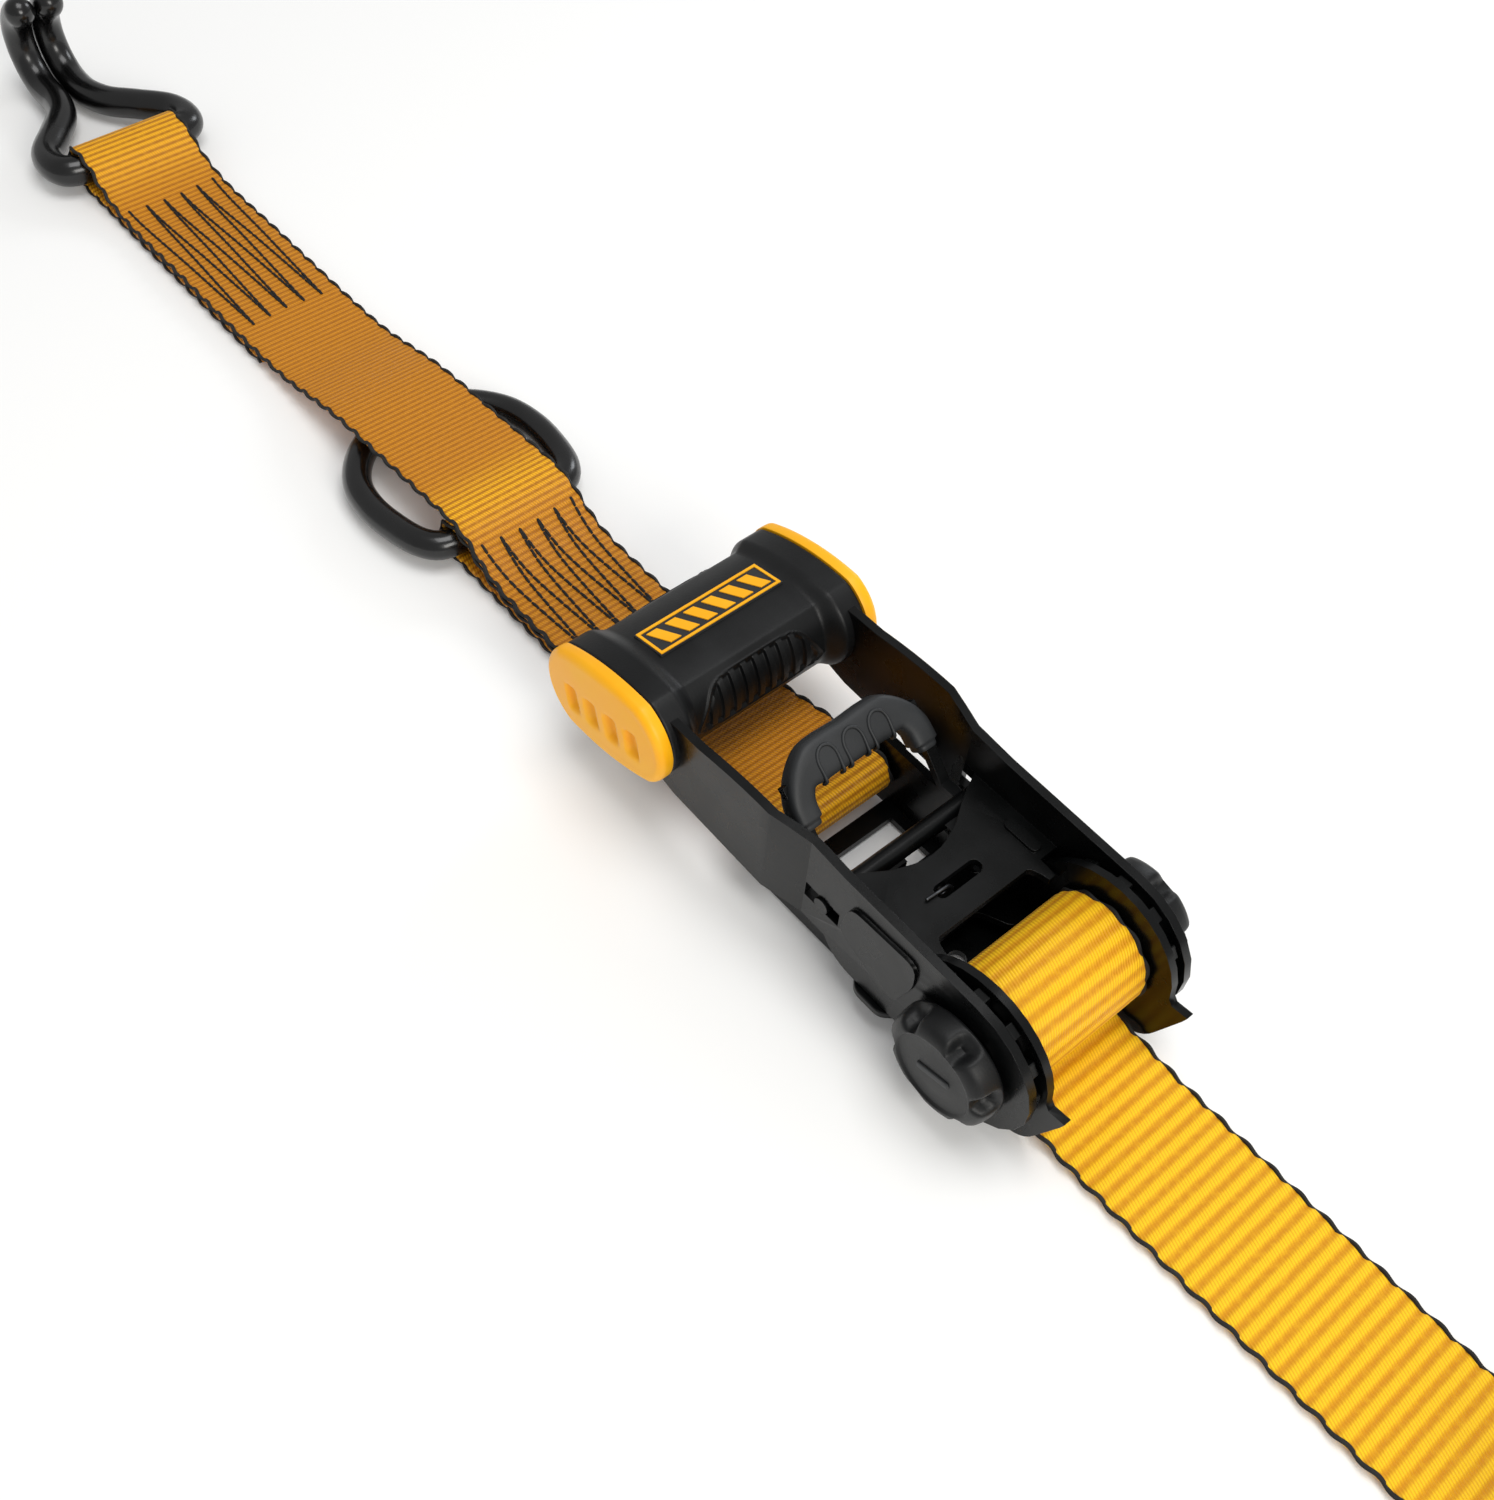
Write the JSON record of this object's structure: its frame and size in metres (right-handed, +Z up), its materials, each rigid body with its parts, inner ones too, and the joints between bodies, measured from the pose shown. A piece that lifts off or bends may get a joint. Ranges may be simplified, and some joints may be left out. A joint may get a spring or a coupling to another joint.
{
  "type": "ratchet strap",
  "caption": "Tie-down strap with a folded steel ratchet, padded grip, webbing spool, stitched fixed end with a D-ring, and double-J wire hooks at both ends",
  "frame": {"origin": "middle of the base's floor plate on its underside, in the plane between the two side plates, on the surface the strap lies on", "axes": "X runs along the strap from the fixed-end hook (-X) to the free-end hook (+X), Y runs along the ratchet's axle, Z is up"},
  "size_m": [0.9596, 0.076, 0.0755],
  "materials": {
    "black_enamel_steel": "semi-gloss",
    "zinc_plated_steel": "satin",
    "moulded_black_plastic": "matte",
    "moulded_yellow_plastic": "satin",
    "yellow_webbing": "woven",
    "vinyl_dipped_steel": "gloss",
    "elastic_tie": "woven"
  },
  "bodies": {
    "root": {"base_frame": "black_enamel_steel", "fixed_bolt": "zinc_plated_steel", "fixed_bolt_nut": "zinc_plated_steel", "bolt_sleeve": "zinc_plated_steel", "lock_spring": "zinc_plated_steel", "fixed_strap": "yellow_webbing", "strap_run": "yellow_webbing", "strap_hank": "yellow_webbing", "hank_tie": "elastic_tie", "strap_end_loop": "yellow_webbing"},
    "handle": {"handle_frame": "black_enamel_steel", "grip_rod": "zinc_plated_steel", "grip": "moulded_black_plastic", "grip_cap_left": "moulded_yellow_plastic", "grip_cap_right": "moulded_yellow_plastic", "badge": "moulded_yellow_plastic", "drive_spring": "zinc_plated_steel"},
    "drive_pawl": {"drive_pawl": "black_enamel_steel", "finger_pull": "moulded_black_plastic"},
    "lock_pawl": {"lock_pawl": "black_enamel_steel"},
    "mandrel": {"mandrel_upper": "black_enamel_steel", "mandrel_lower": "black_enamel_steel", "gear_left": "black_enamel_steel", "gear_right": "black_enamel_steel", "axle_washer_left": "zinc_plated_steel", "axle_washer_right": "zinc_plated_steel", "knob_left": "moulded_black_plastic", "knob_right": "moulded_black_plastic", "knob_screw_left": "zinc_plated_steel", "knob_screw_right": "zinc_plated_steel", "wound_web": "yellow_webbing"},
    "fixed_hook": {"hook_fixed": "vinyl_dipped_steel"},
    "d_ring": {"d_ring": "vinyl_dipped_steel"},
    "free_hook": {"hook_free": "vinyl_dipped_steel"}
  },
  "joints": [
    {"name": "handle_swing", "type": "hinge", "parent": "root", "child": "handle", "pos_m": [0.042, 0, 0.023], "axis": [0, 1, 0], "range_deg": [0, 150]},
    {"name": "drive_pawl_slide", "type": "slide", "parent": "handle", "child": "drive_pawl", "axis": [-1, 0, 0], "range_m": [-0.0026, 0.003], "deforming": ["drive_spring"]},
    {"name": "lock_pawl_slide", "type": "slide", "parent": "root", "child": "lock_pawl", "axis": [-1, 0, 0], "range_m": [0, 0.0045], "stiffness_N_per_m": 400, "springref_m": -0.004, "deforming": ["lock_spring"]},
    {"name": "mandrel_spin", "type": "hinge", "parent": "root", "child": "mandrel", "pos_m": [0.042, 0, 0.023], "axis": [0, 1, 0], "continuous": true},
    {"name": "fixed_hook_swivel", "type": "hinge", "parent": "root", "child": "fixed_hook", "pos_m": [-0.394, 0, 0.0075], "axis": [0, 1, 0], "range_deg": [-90, 130]},
    {"name": "d_ring_swing", "type": "hinge", "parent": "root", "child": "d_ring", "pos_m": [-0.174, 0, 0.0067], "axis": [0, -1, 0], "range_deg": [0, 90]},
    {"name": "free_hook_swivel", "type": "hinge", "parent": "root", "child": "free_hook", "pos_m": [0.4, 0, 0.0424], "axis": [0, -1, 0], "range_deg": [0, 100]}
  ]
}
